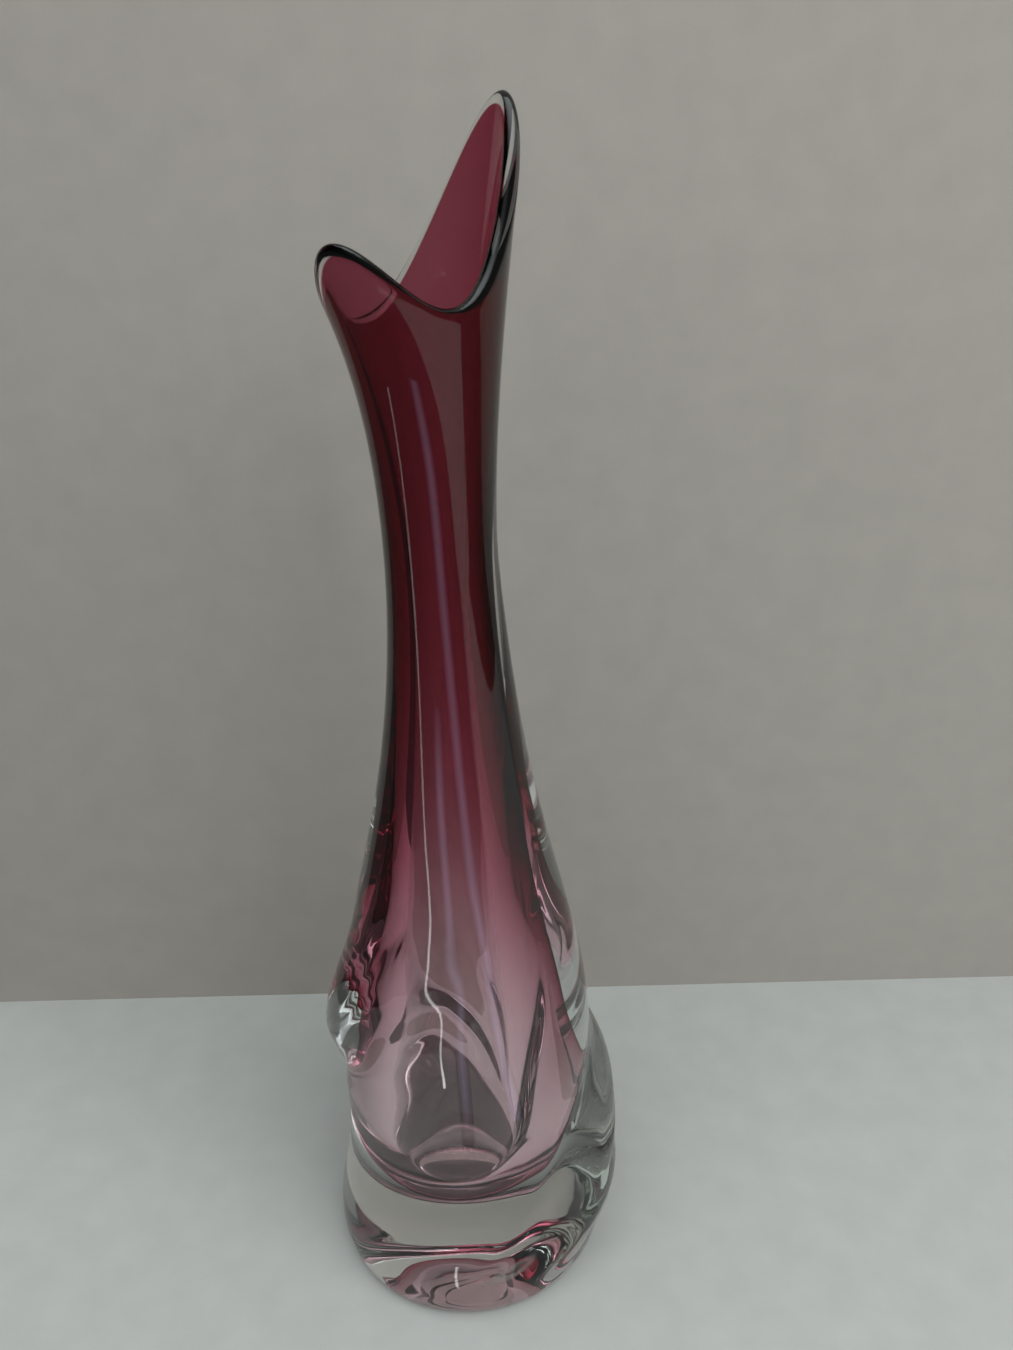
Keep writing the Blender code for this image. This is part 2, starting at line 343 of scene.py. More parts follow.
# %% Smooth curves
def smooth_curve(heights, sizes):
    """A cubic spline through sizes at heights, level at its lowest place and free at its highest."""
    steps, rises = np.diff(heights), np.diff(sizes)
    count = len(heights)
    matrix, target = np.zeros((count, count)), np.zeros(count)
    matrix[0, :2] = 2 * steps[0], steps[0]
    target[0] = 6 * rises[0] / steps[0]
    matrix[-1, -1] = 1
    for i in range(1, count - 1):
        matrix[i, i - 1 : i + 2] = steps[i - 1], 2 * (steps[i - 1] + steps[i]), steps[i]
        target[i] = 6 * (rises[i] / steps[i] - rises[i - 1] / steps[i - 1])
    bends = np.linalg.solve(matrix, target)

    def size_at(height):
        i = int(np.clip(np.searchsorted(heights, height) - 1, 0, count - 2))
        up = (min(max(height, heights[0]), heights[-1]) - heights[i]) / steps[i]
        down = 1 - up
        curve = (down**3 - down) * bends[i] + (up**3 - up) * bends[i + 1]
        return down * sizes[i] + up * sizes[i + 1] + curve * steps[i] ** 2 / 6

    return size_at


outer_radius = smooth_curve(HEIGHTS, OUTER_RADII)
casing_wall = smooth_curve(WALL_HEIGHTS, CASING_WALLS)
lining_wall = smooth_curve(LINING_HEIGHTS, LINING_WALLS)
ruby_thickness = smooth_curve(RUBY_HEIGHTS, RUBY_THICKNESS)
ruby_depth = smooth_curve(RUBY_HEIGHTS, RUBY_DEPTHS)
for height in HEIGHTS[1:-1]:
    print(round(height / MM), "mm up: outside", round(outer_radius(height) / MM, 1), "mm from the axis")


# %% [markdown]
# The hollow ends in a rounded floor above the solid base. Its wall is the outside less both layers of
# glass. A surface that lies deeper in the glass is the same curve, let in by an inset. Rows of points crowd
# towards the mouth, which the hot work will stretch most.

# %% The hollow
CROWDING = 1.2


def hollow_radius(height, inset=0.0):
    """Radius of the hollow, or of a surface that lies outside it by inset, at a height of the blank."""
    straight = outer_radius(height) - casing_wall(height) - LINING_GAP - lining_wall(height) + inset
    floor_height = BASE_THICKNESS + LINING_GAP + lining_wall(BASE_THICKNESS) - inset
    shoulder = BASE_THICKNESS + DOME_HEIGHT
    below = (shoulder - height) / (shoulder - floor_height)
    if below <= 0:
        return straight
    return straight * max(1 - below**DOME_SQUARENESS, 0) ** (1 / DOME_SQUARENESS)


def hollow_side(inset_at, top, dome_steps, wall_steps):
    """Points up a surface of the hollow, from the middle of its floor to the rim."""
    floor_height = BASE_THICKNESS + LINING_GAP + lining_wall(BASE_THICKNESS) - inset_at(BASE_THICKNESS)
    shoulder = BASE_THICKNESS + DOME_HEIGHT
    turns = np.linspace(0, math.pi / 2, dome_steps, endpoint=False)
    heights = [shoulder - (shoulder - floor_height) * math.cos(turn) for turn in turns]
    heights += [top - (top - shoulder) * share**CROWDING for share in np.linspace(1, 0, wall_steps)]
    return [(hollow_radius(height, inset_at(height)), height) for height in heights]


print("the hollow is", round(2 * hollow_radius(HEIGHTS[3]) / MM, 1), "mm wide in the body")


# %% [markdown]
# The glass is one closed surface: up the hollow, over the fire-polished rim and down the outside to the
# ground foot, which has a shallow kick in its middle. Light bends only where glass meets air, so the
# casing and the lining share this surface, and nothing lies between them.

# %% Half section of the glass
RIM_RISE = 1.25 * MM
KICK_RADIUS, KICK_DEPTH = 30.0 * MM, 3.6 * MM
# Two rings close to the edge keep the shading of the flat foot flat
FLAT_RINGS = (0.985, 0.9)
DOME_STEPS, HOLLOW_STEPS, RIM_STEPS, WALL_STEPS, FOOT_STEPS, KICK_STEPS = 26, 100, 14, 150, 12, 16


def glass_section():
    """Half section of all the glass, as (radius, height) points."""
    hollow = hollow_side(lambda height: 0.0, MOUTH_HEIGHT, DOME_STEPS, HOLLOW_STEPS)
    inside, outside = hollow[-1][0], MOUTH_RADIUS
    middle, half = (outside + inside) / 2, (outside - inside) / 2
    turns = np.linspace(math.pi, 0, RIM_STEPS, endpoint=False)[1:]
    rim = [(middle + half * math.cos(turn), MOUTH_HEIGHT + RIM_RISE * math.sin(turn)) for turn in turns]
    shares = np.linspace(0, 1, WALL_STEPS)
    wall_heights = [MOUTH_HEIGHT - (MOUTH_HEIGHT - FOOT_EDGE_HEIGHT) * share**CROWDING for share in shares]
    wall = [(outer_radius(height), height) for height in wall_heights]
    flat = FOOT_RADIUS - FOOT_EDGE_WIDTH
    turns = np.linspace(math.pi / 2, 0, FOOT_STEPS + 1)[1:]
    edge = [(flat + FOOT_EDGE_WIDTH * math.sin(t), FOOT_EDGE_HEIGHT * (1 - math.cos(t))) for t in turns]
    ground = [(flat * share, 0.0) for share in FLAT_RINGS]
    turns = np.linspace(math.pi / 2, 0, KICK_STEPS)
    ground += [(KICK_RADIUS * math.sin(t), KICK_DEPTH * math.cos(t) ** 2) for t in turns]
    return hollow + rim + wall + edge + ground


def ruby_section():
    """Half section of the ruby layer, which lies in the glass a little outside the hollow."""
    def far_side(height):
        return ruby_depth(height) + ruby_thickness(height)

    top = MOUTH_HEIGHT + RUBY_RIM_RISE
    inside = hollow_side(ruby_depth, top, DOME_STEPS, HOLLOW_STEPS)
    outside = hollow_side(far_side, top, DOME_STEPS, HOLLOW_STEPS)
    return inside + outside[::-1]


print("sections of", len(glass_section()), "and", len(ruby_section()), "points")

# %% [markdown]
# A half section becomes a line of vertices. A fin stands out on the outside, and hardly at all on the
# hollow, because the thick glass between them takes up the pinch. So each vertex carries its share in the
# fins as an attribute, which the tree below reads.

# %% From points to a mesh
FIN_FADE_POWER = 2.5


def half_section(name, points):
    """A half section as a line of vertices, each with its share in the fins: 1 outside, less further in."""
    mesh = bpy.data.meshes.new(name)
    mesh.from_pydata([(r, 0.0, z) for r, z in points], [(i, i + 1) for i in range(len(points) - 1)], [])
    shares = mesh.attributes.new("fin_share", "FLOAT", "POINT")
    shares.data.foreach_set("value", [min(r / outer_radius(z), 1.0) ** FIN_FADE_POWER for r, z in points])
    made = bpy.data.objects.new(name, mesh)
    bpy.context.scene.collection.objects.link(made)
    print(name, len(points), "points")
    return made


# %% [markdown]
# ## The hot work, as geometry nodes
#
# The tree below takes a half section and does what the glassmaker does: turn it, pinch two fins out of it,
# twist it, swing its mouth and let its neck lean. Each size is a named input, so a change to a fin or a
# lip is one number. Small trees come first, for what is used more than once.

# %% A tree with named inputs
def new_tree(name, inputs, outputs):
    """A geometry node tree with these sockets, and the sockets that its nodes read and write."""
    tree = bpy.data.node_groups.new(name, "GeometryNodeTree")
    for label, kind in inputs:
        tree.interface.new_socket(label, in_out="INPUT", socket_type="NodeSocket" + kind)
    for label, kind in outputs:
        tree.interface.new_socket(label, in_out="OUTPUT", socket_type="NodeSocket" + kind)
    return tree, add(tree, "NodeGroupInput").outputs


MATHS = "ShaderNodeMath"
GROUP = "GeometryNodeGroup"
print("sums are", MATHS, "and smaller trees are called by", GROUP)

# %% [markdown]
# A crest is a round ridge at angle 0 that comes back each whole turn: exp((cos(angle) - 1) / (1 -
# cos(width))). A pinch between the jacks gives such a ridge, and a shallow groove on either side of it.

# %% Crest
crest, given = new_tree("Crest", [("Angle", "Float"), ("Width", "Float")], [("Height", "Float")])
around = add(crest, MATHS, given["Angle"], operation="COSINE").outputs[0]
fall = add(crest, MATHS, around, 1.0, operation="SUBTRACT").outputs[0]
across = add(crest, MATHS, given["Width"], operation="COSINE").outputs[0]
spread = add(crest, MATHS, 1.0, across, operation="SUBTRACT").outputs[0]
ratio = add(crest, MATHS, fall, spread, operation="DIVIDE").outputs[0]
add(crest, "NodeGroupOutput", add(crest, MATHS, ratio, operation="EXPONENT").outputs[0])
print("crest has", len(crest.nodes), "nodes")

# %% [markdown]
# A fin is pinched at one height, and fades above and below it over spans of its own. Below that height its
# ridge sweeps round the body, as the soft glass is pulled along. The jaws of the tool leave faint grooves
# that run along the fin, and these catch fine lines of light.

# %% One pinched fin, with a groove on either side
SWEEP_POWER, FIN_END_POWER = 1.5, 3.0
FIN_INPUTS = ["Angle", "Height", "Fin angle", "Fin height", "Reach", "Rise", "Run", "Sweep"]
FIN_INPUTS += ["Fin width", "Groove depth", "Groove width", "Groove offset", "Mark depth", "Mark width"]
fin, given = new_tree("Pinched fin", [(label, "Float") for label in FIN_INPUTS], [("Push", "Float")])
above = add(fin, MATHS, given["Height"], given["Fin height"], operation="SUBTRACT").outputs[0]
higher = add(fin, MATHS, above, 0.0, operation="GREATER_THAN").outputs[0]
span = add(fin, "ShaderNodeMix", named={0: higher, 2: given["Run"], 3: given["Rise"]}).outputs[0]
far = add(fin, MATHS, above, span, operation="DIVIDE").outputs[0]
lower = add(fin, MATHS, far, -1.0, operation="MULTIPLY").outputs[0]
lower = add(fin, MATHS, lower, 0.0, operation="MAXIMUM").outputs[0]
swept = add(fin, MATHS, lower, SWEEP_POWER, operation="POWER").outputs[0]
swept = add(fin, MATHS, swept, given["Sweep"], operation="MULTIPLY").outputs[0]
off = add(fin, MATHS, given["Angle"], given["Fin angle"], operation="SUBTRACT").outputs[0]
off = add(fin, MATHS, off, swept, operation="ADD").outputs[0]
ridge = add(fin, GROUP, off, given["Fin width"], node_tree=crest).outputs[0]
across = add(fin, MATHS, ridge, given["Reach"], operation="MULTIPLY").outputs[0]
for side in ("ADD", "SUBTRACT"):
    beside = add(fin, MATHS, off, given["Groove offset"], operation=side).outputs[0]
    groove = add(fin, GROUP, beside, given["Groove width"], node_tree=crest).outputs[0]
    cut = add(fin, MATHS, groove, given["Groove depth"], operation="MULTIPLY").outputs[0]
    across = add(fin, MATHS, across, cut, operation="SUBTRACT").outputs[0]
turns = add(fin, MATHS, off, given["Mark width"], operation="DIVIDE").outputs[0]
turns = add(fin, MATHS, turns, 2 * math.pi, operation="MULTIPLY").outputs[0]
wave = add(fin, MATHS, turns, operation="COSINE").outputs[0]
wave = add(fin, MATHS, wave, 0.5, 0.5, operation="MULTIPLY_ADD").outputs[0]
wave = add(fin, MATHS, wave, ridge, operation="MULTIPLY").outputs[0]
mark = add(fin, MATHS, wave, given["Mark depth"], operation="MULTIPLY").outputs[0]
across = add(fin, MATHS, across, mark, operation="SUBTRACT").outputs[0]
far = add(fin, MATHS, far, operation="ABSOLUTE").outputs[0]
fade = add(fin, MATHS, far, FIN_END_POWER, operation="POWER").outputs[0]
fade = add(fin, MATHS, fade, -1.0, operation="MULTIPLY").outputs[0]
fade = add(fin, MATHS, fade, operation="EXPONENT").outputs[0]
add(fin, "NodeGroupOutput", add(fin, MATHS, across, fade, operation="MULTIPLY").outputs[0])
print("pinched fin has", len(fin.nodes), "nodes")

# %% [markdown]
# A lip of the swung mouth falls away on both sides along a curve with a rounded tip. It is the share of a
# rim point in the lip: 1 at the tip and nearly 0 across the mouth.

# %% Lip
LIP_INPUTS = [("Angle", "Float"), ("Width", "Float"), ("Round", "Float")]
lip, given = new_tree("Lip", LIP_INPUTS, [("Share", "Float")])
around = add(lip, MATHS, given["Angle"], operation="COSINE").outputs[0]
chord = add(lip, MATHS, around, -2.0, 2.0, operation="MULTIPLY_ADD").outputs[0]
soft = add(lip, MATHS, given["Round"], given["Round"], chord, operation="MULTIPLY_ADD").outputs[0]
root = add(lip, MATHS, soft, operation="SQRT").outputs[0]
away = add(lip, MATHS, given["Round"], root, operation="SUBTRACT").outputs[0]
power = add(lip, MATHS, away, given["Width"], operation="DIVIDE").outputs[0]
add(lip, "NodeGroupOutput", add(lip, MATHS, power, operation="EXPONENT").outputs[0])
print("lip has", len(lip.nodes), "nodes")

# %% [markdown]
# The main tree lays the half section out as a grid, one row for each of its points, and gives each vertex
# its angle, radius and height. The hot work changes these three numbers. Only then are they turned into a
# place, the seam and the poles are closed, and the glass is given its finish.

# %% Inputs of the hot work
TOOLING = {
    "Sides": 192,
    "High fin angle": 92 * DEGREE,
    "High fin height": 80.0 * MM,
    "High fin reach": 3.6 * MM,
    "High fin rise": 32.0 * MM,
    "High fin run": 55.0 * MM,
    "High fin sweep": 124 * DEGREE,
    "Low fin angle": -48 * DEGREE,
    "Low fin height": 42.0 * MM,
    "Low fin reach": 8.8 * MM,
    "Low fin rise": 24.0 * MM,
    "Low fin run": 25.0 * MM,
    "Low fin sweep": 6 * DEGREE,
    "Fin width": 24 * DEGREE,
    "Groove depth": 1.0 * MM,
    "Groove width": 13 * DEGREE,
    "Groove offset": 42 * DEGREE,
    "Mark depth": 0.07 * MM,
    "Mark width": 9 * DEGREE,
    "Twist angle": 138 * DEGREE,
    "Twist height": 115.0 * MM,
    "Mouth height": float(MOUTH_HEIGHT),
    "Swing length": 41 * MM,
    "Tall lip angle": 37 * DEGREE,
    "Tall lip width": 38 * DEGREE,
    "Tall lip round": 28 * DEGREE,
    "Tall lip rise": 51 * MM,
    "Tall lip flare": 11.9 * MM,
    "Short lip angle": 234 * DEGREE,
    "Short lip width": 25 * DEGREE,
    "Short lip round": 39 * DEGREE,
    "Short lip rise": 23 * MM,
    "Short lip flare": 9.4 * MM,
    "Body lean": 3.2 * MM,
    "Neck lean": -5.8 * MM,
    "Bubble offset": -2.5 * MM,
    "Base thickness": BASE_THICKNESS,
    "Ripple depth": 0.02 * MM,
    "Ripple length": 14 * MM,
    "Merge": 0.004 * MM,
}
kinds = [("Half section", "Geometry")]
kinds += [(label, "Int" if isinstance(value, int) else "Float") for label, value in TOOLING.items()]
kinds += [("Glass", "Material"), ("Ground glass", "Material")]
work, given = new_tree("Hot work", kinds, [("Vase", "Geometry")])
print("hot work has", len(TOOLING), "named sizes")

# %% [markdown]
# The grid has one row for each point of the half section and one column for each side, with one column
# more to close the ring. Each vertex finds its row and its column from its number, and reads its radius,
# its height and its share in the fins from the point of that row.

# %% Lay out the blank
size = add(work, "GeometryNodeAttributeDomainSize", given["Half section"], component="MESH")
columns = add(work, MATHS, given["Sides"], 1.0, operation="ADD").outputs[0]
blank = add(work, "GeometryNodeMeshGrid", 1.0, 1.0, size.outputs["Point Count"], columns)
number = add(work, "GeometryNodeInputIndex").outputs[0]
row = add(work, MATHS, number, columns, operation="DIVIDE").outputs[0]
row = add(work, MATHS, row, operation="FLOOR").outputs[0]
full = add(work, MATHS, row, columns, operation="MULTIPLY").outputs[0]
column = add(work, MATHS, number, full, operation="SUBTRACT").outputs[0]
place = add(work, "GeometryNodeInputPosition").outputs[0]
point = add(work, "GeometryNodeSampleIndex", given["Half section"], place, row, data_type="FLOAT_VECTOR")
point = add(work, "ShaderNodeSeparateXYZ", point.outputs[0])
radius, height = point.outputs["X"], point.outputs["Z"]
share = add(work, "GeometryNodeInputNamedAttribute", "fin_share", data_type="FLOAT").outputs[0]
share = add(work, "GeometryNodeSampleIndex", given["Half section"], share, row, data_type="FLOAT")
fin_share = share.outputs[0]
step = add(work, MATHS, 2 * math.pi, given["Sides"], operation="DIVIDE").outputs[0]
angle = add(work, MATHS, column, step, operation="MULTIPLY").outputs[0]
print("the blank is laid out with", TOOLING["Sides"], "sides")

# %% [markdown]
# The vase has two fins: a long shallow ridge that winds down the body, and a short stout one above the
# foot. One tree makes both, and pushes the radius out by what the pinch gives at that place.

# %% Pinch the fins
FIN_SIZES = ("angle", "height", "reach", "rise", "run", "sweep")

for which in ("High fin", "Low fin"):
    sizes = [angle, height] + [given[f"{which} {part}"] for part in FIN_SIZES]
    sizes += [given[part] for part in FIN_INPUTS[len(sizes) :]]
    push = add(work, GROUP, *sizes, node_tree=fin).outputs[0]
    radius = add(work, MATHS, push, fin_share, radius, operation="MULTIPLY_ADD").outputs[0]
    print(which, "stands out by", round(TOOLING[f"{which} reach"] / MM, 1), "mm")

# %% [markdown]
# Blown glass is never quite even: it carries long faint ripples, drawn upwards with the glass. They are
# what makes the streaks of light waver a little. They only ever take glass away, so the vase stays within
# its measured size.

# %% Ripples
# A ripple is five times as long up the vase as it is round it
DRAWN_OUT = 0.2

round_x = add(work, MATHS, angle, operation="COSINE").outputs[0]
round_x = add(work, MATHS, round_x, radius, operation="MULTIPLY").outputs[0]
round_y = add(work, MATHS, angle, operation="SINE").outputs[0]
round_y = add(work, MATHS, round_y, radius, operation="MULTIPLY").outputs[0]
drawn = add(work, MATHS, height, DRAWN_OUT, operation="MULTIPLY").outputs[0]
spot = add(work, "ShaderNodeCombineXYZ", round_x, round_y, drawn)
scale = add(work, MATHS, 1.0, given["Ripple length"], operation="DIVIDE").outputs[0]
ripple = add(work, "ShaderNodeTexNoise", named={"Vector": spot.outputs[0], "Scale": scale, "Detail": 1.0})
hidden = add(work, MATHS, ripple.outputs[0], given["Ripple depth"], operation="MULTIPLY").outputs[0]
inward = add(work, MATHS, hidden, fin_share, operation="MULTIPLY").outputs[0]
radius = add(work, MATHS, radius, inward, operation="SUBTRACT").outputs[0]
print("ripples are up to", round(TOOLING["Ripple depth"] / MM, 3), "mm deep")

# %% [markdown]
# The body is twisted by holding its foot in a tool and turning the pipe. Here the angle of a vertex grows
# with its height, up to where the neck had already gone stiff.

# %% Twist the body
wound = add(work, MATHS, height, given["Twist height"], operation="DIVIDE").outputs[0]
wound = add(work, MATHS, wound, 1.0, operation="MINIMUM").outputs[0]
angle = add(work, MATHS, wound, given["Twist angle"], angle, operation="MULTIPLY_ADD").outputs[0]
print("the body is twisted by", round(TOOLING["Twist angle"] / DEGREE), "degrees")

# %% [markdown]
# For a swung mouth, the hot vase is held by its foot and swung, so that the glass at its mouth runs out
# into lips. Only the top of the neck moves, and the more so the closer it is to the rim. A lip both rises
# and flares outwards. The short one flares late, and stands out like a small spout.

# %% Swing the mouth
LIP_RISE_POWER = 1.7
FLARE_POWERS = {"Tall lip": 2.0, "Short lip": 4.0}

low = add(work, MATHS, given["Mouth height"], given["Swing length"], operation="SUBTRACT").outputs[0]
swung = add(work, MATHS, height, low, operation="SUBTRACT").outputs[0]
swung = add(work, MATHS, swung, given["Swing length"], operation="DIVIDE").outputs[0]
swung = add(work, MATHS, swung, 0.0, operation="MAXIMUM").outputs[0]
raised = add(work, MATHS, swung, LIP_RISE_POWER, operation="POWER").outputs[0]
start_height = height
for which, flare_power in FLARE_POWERS.items():
    off = add(work, MATHS, angle, given[f"{which} angle"], operation="SUBTRACT").outputs[0]
    part = add(work, GROUP, off, given[f"{which} width"], given[f"{which} round"], node_tree=lip).outputs[0]
    flare = add(work, MATHS, part, given[f"{which} flare"], operation="MULTIPLY").outputs[0]
    bent = add(work, MATHS, swung, flare_power, operation="POWER").outputs[0]
    radius = add(work, MATHS, flare, bent, radius, operation="MULTIPLY_ADD").outputs[0]
    rise = add(work, MATHS, part, given[f"{which} rise"], operation="MULTIPLY").outputs[0]
    height = add(work, MATHS, rise, raised, height, operation="MULTIPLY_ADD").outputs[0]
    print(which, "rises by up to", round(TOOLING[f"{which} rise"] / MM), "mm")

# %% [markdown]
# No hand-blown vase stands quite straight. This one leans to the right over its body, and its neck curves
# back to the left. The bubble isn't in the middle of the clear glass either: it sits a little to the left,
# so the clear glass is thicker on the right, as the photograph shows.

# %% Lean the neck
NECK_LEAN_POWER = 6.0

up = add(work, MATHS, start_height, given["Mouth height"], operation="DIVIDE").outputs[0]
square = add(work, MATHS, up, up, operation="MULTIPLY").outputs[0]
lean = add(work, MATHS, up, NECK_LEAN_POWER, operation="POWER").outputs[0]
lean = add(work, MATHS, lean, given["Neck lean"], operation="MULTIPLY").outputs[0]
lean = add(work, MATHS, square, given["Body lean"], lean, operation="MULTIPLY_ADD").outputs[0]
below = add(work, MATHS, start_height, given["Base thickness"], operation="DIVIDE").outputs[0]
below = add(work, MATHS, below, 1.0, operation="MINIMUM").outputs[0]
inner = add(work, MATHS, 1.0, fin_share, operation="SUBTRACT").outputs[0]
inner = add(work, MATHS, inner, below, operation="MULTIPLY").outputs[0]
down = add(work, MATHS, 1.0, square, operation="SUBTRACT").outputs[0]
inner = add(work, MATHS, inner, down, operation="MULTIPLY").outputs[0]
lean = add(work, MATHS, inner, given["Bubble offset"], lean, operation="MULTIPLY_ADD").outputs[0]
print("the bubble is", round(-TOOLING["Bubble offset"] / MM, 1), "mm to the left")

# %% [markdown]
# Angle, radius and height now become a place. Where the last column meets the first, and where a row has
# shrunk to a point at a pole, the vertices are merged, so that the glass is closed. The flat ring that
# touches the table gets the ground finish, and all the rest is fire-polished.

# %% Place each vertex, and close the glass
GROUND_LEVEL = 0.01 * MM

x = add(work, MATHS, angle, operation="COSINE").outputs[0]
x = add(work, MATHS, x, radius, lean, operation="MULTIPLY_ADD").outputs[0]
y = add(work, MATHS, angle, operation="SINE").outputs[0]
y = add(work, MATHS, y, radius, operation="MULTIPLY").outputs[0]
spot = add(work, "ShaderNodeCombineXYZ", x, y, height).outputs[0]
shaped = add(
    work, "GeometryNodeSetPosition",
    named={"Geometry": blank.outputs["Mesh"], "Position": spot},
)
closed = add(
    work, "GeometryNodeMergeByDistance",
    named={"Geometry": shaped.outputs[0], "Distance": given["Merge"]},
)
smooth = add(work, "GeometryNodeSetShadeSmooth", closed.outputs[0])
joined = add(work, "GeometryNodeRealizeInstances", smooth.outputs[0])
glazed = add(
    work, "GeometryNodeSetMaterial",
    named={"Geometry": joined.outputs[0], "Material": given["Glass"]},
)
level = add(work, "ShaderNodeSeparateXYZ", add(work, "GeometryNodeInputPosition").outputs[0]).outputs["Z"]
ground = add(work, "FunctionNodeCompare", level, GROUND_LEVEL, data_type="FLOAT", operation="LESS_THAN")
finished = add(
    work, "GeometryNodeSetMaterial",
    named={
        "Geometry": glazed.outputs[0], "Selection": ground.outputs[0], "Material": given["Ground glass"],
    },
)
add(work, "NodeGroupOutput", finished.outputs[0])
print("hot work has", len(work.nodes), "nodes")


# %% [markdown]
# ## The glass
#
# The casing is soda-lime glass, gathered hot and fire-polished: no tool touched its surface last, so it is
# smooth but for the faintest breath, and light bends by an IOR of 1.52. That gives the eye hard highlights
# and a clear view in. Thick soda-lime glass has a faint grey-green cast, which is plain absorption inside
# it.
#
# For the rays of lamps, and for light that spreads from the board, the glass is simply clear, with a loss
# at each face for what it mirrors and bends aside. The board under the foot is dim for that reason, and as
# the thick walls mirror it, so are they.

# %% Clear glass
GLASS_IOR = 1.52
CASING_TINT = "#E6EAE6"
CASING_DENSITY = 8.0
PASSED = 0.42
POLISHED_ROUGHNESS, BREATH = (0.0, 0.03), 25 * MM


def lets_light_through(tree, surface, share):
    """Mixes in a clear shader that passes a share of lamps' rays and of light spread by matt surfaces."""
    for kind in ("Is Shadow Ray", "Is Diffuse Ray"):
        path = add(tree, "ShaderNodeLightPath").outputs[kind]
        clear = add(tree, "ShaderNodeBsdfTransparent", (share, share, share, 1)).outputs[0]
        surface = add(tree, "ShaderNodeMixShader", path, surface, clear).outputs[0]
    return surface


clear_glass, tree = new_material("Fire-polished soda-lime glass")
place = add(tree, "ShaderNodeTexCoord").outputs["Object"]
breath = add(tree, "ShaderNodeTexNoise", named={"Vector": place, "Scale": 1 / BREATH, "Detail": 3.0})
polish = add(tree, "ShaderNodeMapRange", breath.outputs[0], 0.35, 0.75, *POLISHED_ROUGHNESS)
body = add(
    tree, "ShaderNodeBsdfPrincipled",
    named={
        "Base Color": (1, 1, 1, 1), "Roughness": polish.outputs[0], "IOR": GLASS_IOR,
        "Transmission Weight": 1.0,
    },
)
depth = add(tree, "ShaderNodeVolumeAbsorption", linear(CASING_TINT), CASING_DENSITY)
add(tree, "ShaderNodeOutputMaterial", lets_light_through(tree, body.outputs[0], PASSED), depth.outputs[0])
print("clear glass, IOR", GLASS_IOR, "roughness", POLISHED_ROUGHNESS)

# %% [markdown]
# The ring that the vase stands on was ground flat, which takes off the mark of the tool that held it.
# Ground glass is the same glass with a rough face: it scatters light, and looks like frost. The scratches
# of the grit are too fine to show, so they are drawn as patches about 2 mm across.

# %% Ground foot
GROUND_ROUGHNESS, GRIT = (0.22, 0.4), 2 * MM

ground_glass, tree = new_material("Ground soda-lime glass")
place = add(tree, "ShaderNodeTexCoord").outputs["Object"]
grit = add(tree, "ShaderNodeTexNoise", named={"Vector": place, "Scale": 1 / GRIT, "Detail": 2.0})
bite = add(tree, "ShaderNodeMapRange", grit.outputs[0], 0.3, 0.7, *GROUND_ROUGHNESS)
foot = add(
    tree, "ShaderNodeBsdfPrincipled",
    named={
        "Base Color": (1, 1, 1, 1), "Roughness": bite.outputs[0], "IOR": GLASS_IOR,
        "Transmission Weight": 1.0,
    },
)
depth = add(tree, "ShaderNodeVolumeAbsorption", linear(CASING_TINT), CASING_DENSITY)
add(tree, "ShaderNodeOutputMaterial", lets_light_through(tree, foot.outputs[0], PASSED), depth.outputs[0])
print("ground glass, roughness", GROUND_ROUGHNESS)

# %% [markdown]
# The lining is ruby glass, blown as the first gather. It is fused into the clear glass with no air between,
# so light doesn't bend where the two meet: its surface is perfectly clear, with an IOR of 1, and only its
# inside takes light away. It takes most of the green, nearly as much of the blue and far less of the red,
# which gives the plum tone of the neck. The colour then fades down the vase by itself, because the layer
# gets thinner there, and it deepens towards the edges of the neck, where light runs along the layer.

# %% Ruby glass
RUBY_COLOUR = "#D40A7A"
RUBY_DENSITY = 3900.0

ruby_glass, tree = new_material("Ruby glass")
body = add(
    tree, "ShaderNodeBsdfPrincipled",
    named={"Base Color": (1, 1, 1, 1), "Roughness": 0.0, "IOR": 1.0, "Transmission Weight": 1.0},
)
depth = add(tree, "ShaderNodeVolumeAbsorption", linear(RUBY_COLOUR), RUBY_DENSITY)
add(tree, "ShaderNodeOutputMaterial", lets_light_through(tree, body.outputs[0], 1.0), depth.outputs[0])
print("materials", [m.name for m in bpy.data.materials])


# %% [markdown]
# ## Making the pieces
#
# Each half section gets the hot work as a modifier, with every size set by its socket. The result is then
# taken as a plain mesh, because a finished piece should carry no live recipe.

# %% Blow the two gathers
def blow(name, section, material, foot_material):
    """Does the hot work on a half section, and returns the finished piece as a plain mesh object."""
    modifier = section.modifiers.new("Hot work", "NODES")
    modifier.node_group = work
    values = {**TOOLING, "Glass": material, "Ground glass": foot_material}
    for socket in work.interface.items_tree:
        if socket.in_out == "INPUT" and socket.name in values:
            modifier[socket.identifier] = values[socket.name]
    graph = bpy.context.evaluated_depsgraph_get()
    blown = section.evaluated_get(graph)
    mesh = bpy.data.meshes.new_from_object(blown, preserve_all_data_layers=True, depsgraph=graph)
    mesh.name = name
    for i in reversed(range(len(mesh.materials))):
        if mesh.materials[i] is None:
            mesh.materials.pop(index=i)
    bpy.data.objects.remove(section)
    check = bmesh.new()
    check.from_mesh(mesh)
    volume = check.calc_volume(signed=True)
    if volume < 0:
        bmesh.ops.reverse_faces(check, faces=check.faces)
        check.to_mesh(mesh)
    loose = sum(not edge.is_manifold for edge in check.edges)
    triangles = sum(len(face.verts) - 2 for face in check.faces)
    check.free()
    made = bpy.data.objects.new(name, mesh)
    bpy.context.scene.collection.objects.link(made)
    print(name, triangles, "triangles,", round(volume * 1e6, 1), "cm3,", loose, "open edges")
    return made


